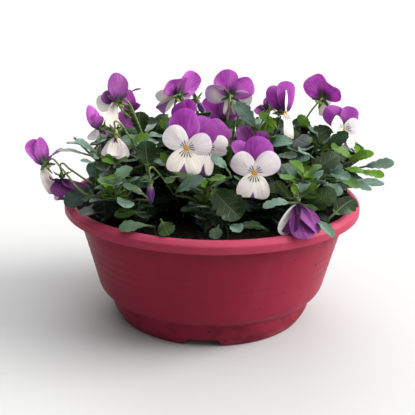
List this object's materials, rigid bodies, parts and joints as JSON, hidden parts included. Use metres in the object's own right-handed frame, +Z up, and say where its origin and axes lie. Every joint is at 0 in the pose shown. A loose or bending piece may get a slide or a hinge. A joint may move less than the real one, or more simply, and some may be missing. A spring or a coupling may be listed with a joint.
{
  "type": "potted pansy planter",
  "caption": "Round moulded planter bowl with a turned-down rim and a notched foot ring, planted with bushy pansies whose purple and white blooms nod on slender stalks.",
  "frame": {"origin": "centre of the circle on which the foot ring stands, at the level of its underside", "axes": "+Z up out of the bowl, -Y to the front notch's side of the planter, +X to the right seen from the front"},
  "size_m": [0.2746, 0.23, 0.1956],
  "materials": {
    "pot": "satin",
    "soil": "matte",
    "petals": "matte",
    "stalk": "matte",
    "leaf": "satin"
  },
  "bodies": {
    "root": {"pot": "pot", "soil": "soil", "bloom_front_left": "petals", "bloom_front_left_behind": "petals", "bloom_front_right": "petals", "bloom_front_right_behind": "petals", "bloom_front_drooping": "petals", "bloom_middle_behind": "petals", "bloom_right": "petals", "bloom_right_high": "petals", "bloom_middle_right_high": "petals", "bloom_middle_right_low": "petals", "bloom_middle_high": "petals", "bloom_middle_left_high": "petals", "bloom_left_high": "petals", "bloom_left_high_behind": "petals", "bloom_left_nodding": "petals", "bloom_left_middle": "petals", "bloom_left_end": "petals", "bloom_left_drooping": "petals", "bloom_rear_low": "petals", "stalk_front_left": "stalk", "stalk_front_left_behind": "stalk", "stalk_front_right": "stalk", "stalk_front_right_behind": "stalk", "stalk_front_drooping": "stalk", "stalk_middle_behind": "stalk", "stalk_right": "stalk", "stalk_right_high": "stalk", "stalk_middle_right_high": "stalk", "stalk_middle_right_low": "stalk", "stalk_middle_high": "stalk", "stalk_middle_left_high": "stalk", "stalk_left_high": "stalk", "stalk_left_high_behind": "stalk", "stalk_left_nodding": "stalk", "stalk_left_middle": "stalk", "stalk_left_end": "stalk", "stalk_left_drooping": "stalk", "stalk_rear_low": "stalk", "bud_left": "stalk", "bud_high": "stalk", "shoot_01": "leaf", "shoot_02": "leaf", "shoot_03": "leaf", "shoot_04": "leaf", "shoot_05": "leaf", "shoot_06": "leaf", "shoot_07": "leaf", "shoot_08": "leaf", "shoot_09": "leaf", "shoot_10": "leaf", "shoot_11": "leaf", "shoot_12": "leaf", "shoot_13": "leaf", "shoot_14": "leaf", "shoot_15": "leaf", "shoot_16": "leaf", "shoot_17": "leaf", "shoot_18": "leaf"}
  },
  "joints": []
}
